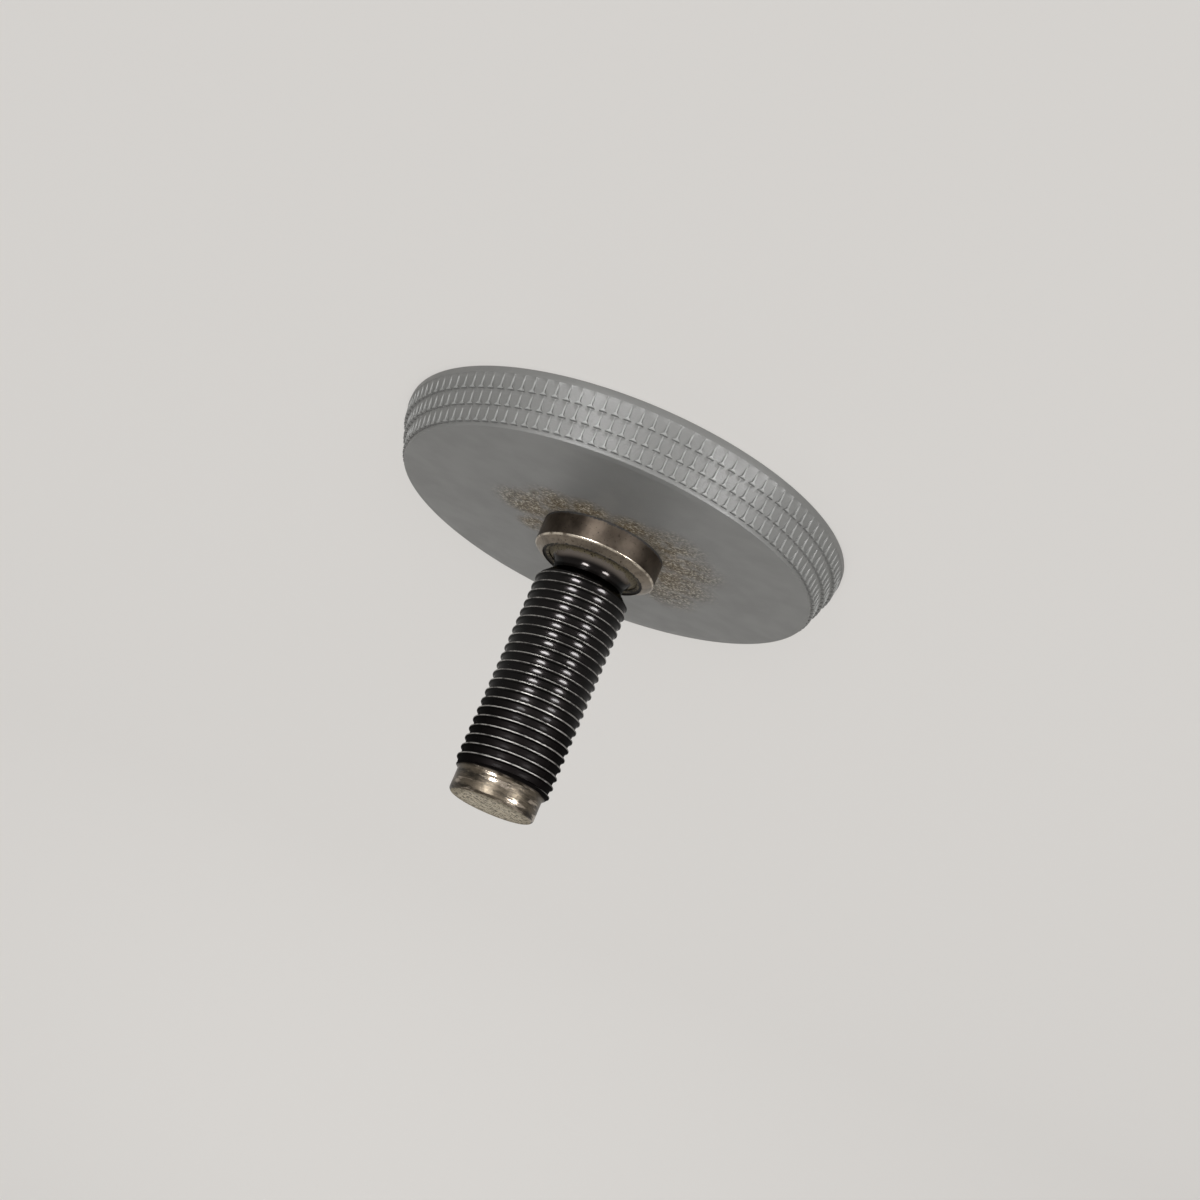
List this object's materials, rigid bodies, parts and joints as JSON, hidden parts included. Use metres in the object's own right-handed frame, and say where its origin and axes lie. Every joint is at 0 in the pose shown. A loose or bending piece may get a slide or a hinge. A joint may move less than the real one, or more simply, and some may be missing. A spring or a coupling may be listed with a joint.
{
  "type": "leveling screw",
  "caption": "Leveling screw with a knurled moulded hand wheel, a steel collar, a necked fine-thread shank and a plain pilot tip.",
  "frame": {"origin": "centre of the wheel's flat back, on the surface that the screw stands on", "axes": "+Z runs along the screw's axis from the back of the wheel to the tip; X and Y are any two directions across it, because the wheel and the thread are round about Z"},
  "size_m": [0.048, 0.048, 0.0352],
  "materials": {
    "wheel_plastic": "moulded semi-matte mid grey, with a brown oil stain round the collar",
    "collar_steel": "turned steel browned by old oil and dirt",
    "screw_steel": "dark oiled steel with a polished neck and a worn yellowish pilot"
  },
  "bodies": {
    "root": {"knurled_wheel": "wheel_plastic", "collar": "collar_steel", "screw": "screw_steel"}
  },
  "joints": []
}
